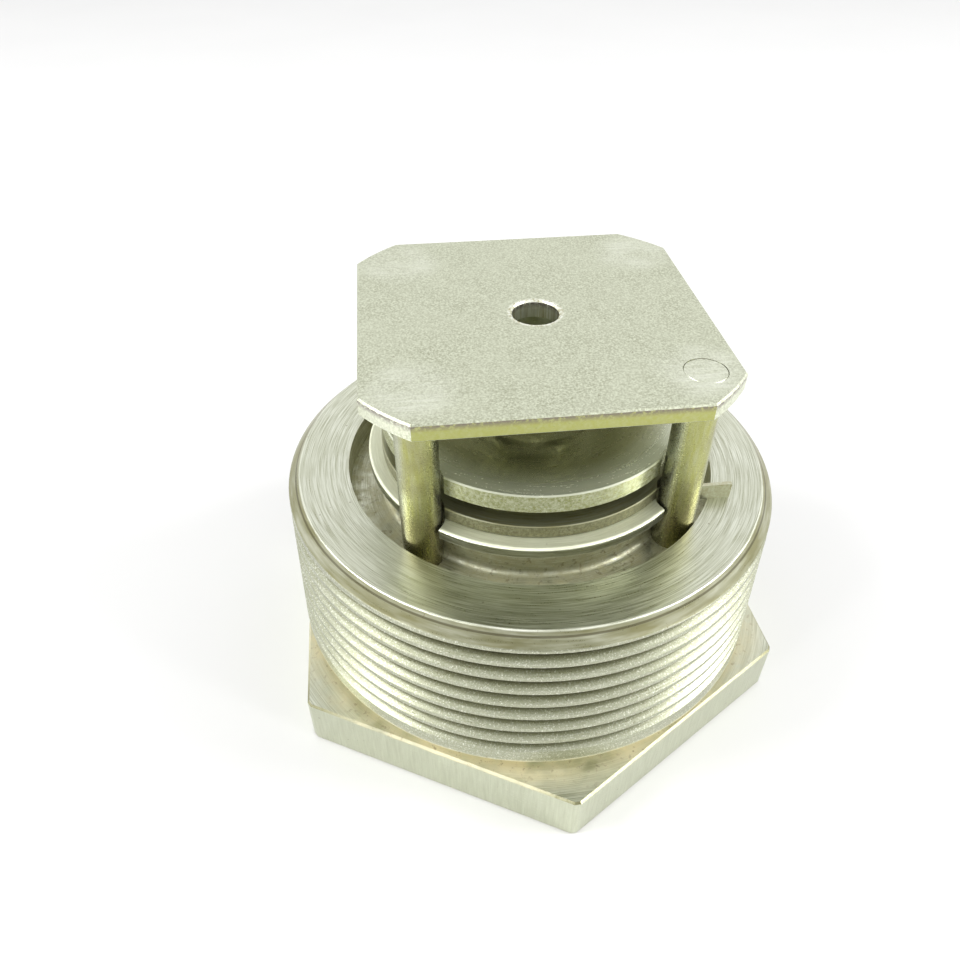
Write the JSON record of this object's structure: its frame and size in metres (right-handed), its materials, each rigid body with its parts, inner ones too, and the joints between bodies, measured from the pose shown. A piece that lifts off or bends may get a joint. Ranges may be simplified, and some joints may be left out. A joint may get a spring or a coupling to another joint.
{
  "type": "screw-in disc check valve",
  "caption": "Stainless screw-in check valve: hexagon body with male taper thread, raised seat, spring-loaded lift disc, guide posts and square stop plate.",
  "frame": {"origin": "centre of the hexagon's flat underside, on the valve's axis", "axes": "+Z along the valve's axis from the hexagon to the stop plate, which is the flow direction; X and Y along the stop plate's sides; two hexagon corners near the Y axis"},
  "size_m": [0.0612, 0.0692, 0.0494],
  "materials": {
    "body_steel": "turned stainless steel, worn thread crests, light brown stain near the hexagon",
    "post_steel": "drawn stainless rod, fine pits, olive tint",
    "plate_steel": "matt ground stainless plate with fine pits",
    "disc_steel": "lapped stainless disc, nearly mirror-like top",
    "seat_disc_steel": "turned stainless ring, fine concentric marks",
    "spring_steel": "stainless spring wire",
    "fastener_steel": "plain stainless nut, washer and sleeve"
  },
  "bodies": {
    "valve_body": {"body": "body_steel", "post_front_left": "post_steel", "post_front_right": "post_steel", "post_back_left": "post_steel", "post_back_right": "post_steel", "stop_plate": "plate_steel", "spring_guide": "fastener_steel", "spring": "spring_steel", "seat_key": "fastener_steel"},
    "lift_disc": {"upper_disc": "disc_steel", "seat_disc": "seat_disc_steel", "clamp_washer": "fastener_steel", "clamp_nut": "fastener_steel"}
  },
  "joints": [
    {"name": "disc_lift", "type": "slide", "parent": "valve_body", "child": "lift_disc", "axis": [0, 0, 1], "range_m": [0, 0.0065], "stiffness_N_per_m": 700, "springref_m": -0.004, "deforming": ["spring"]}
  ]
}
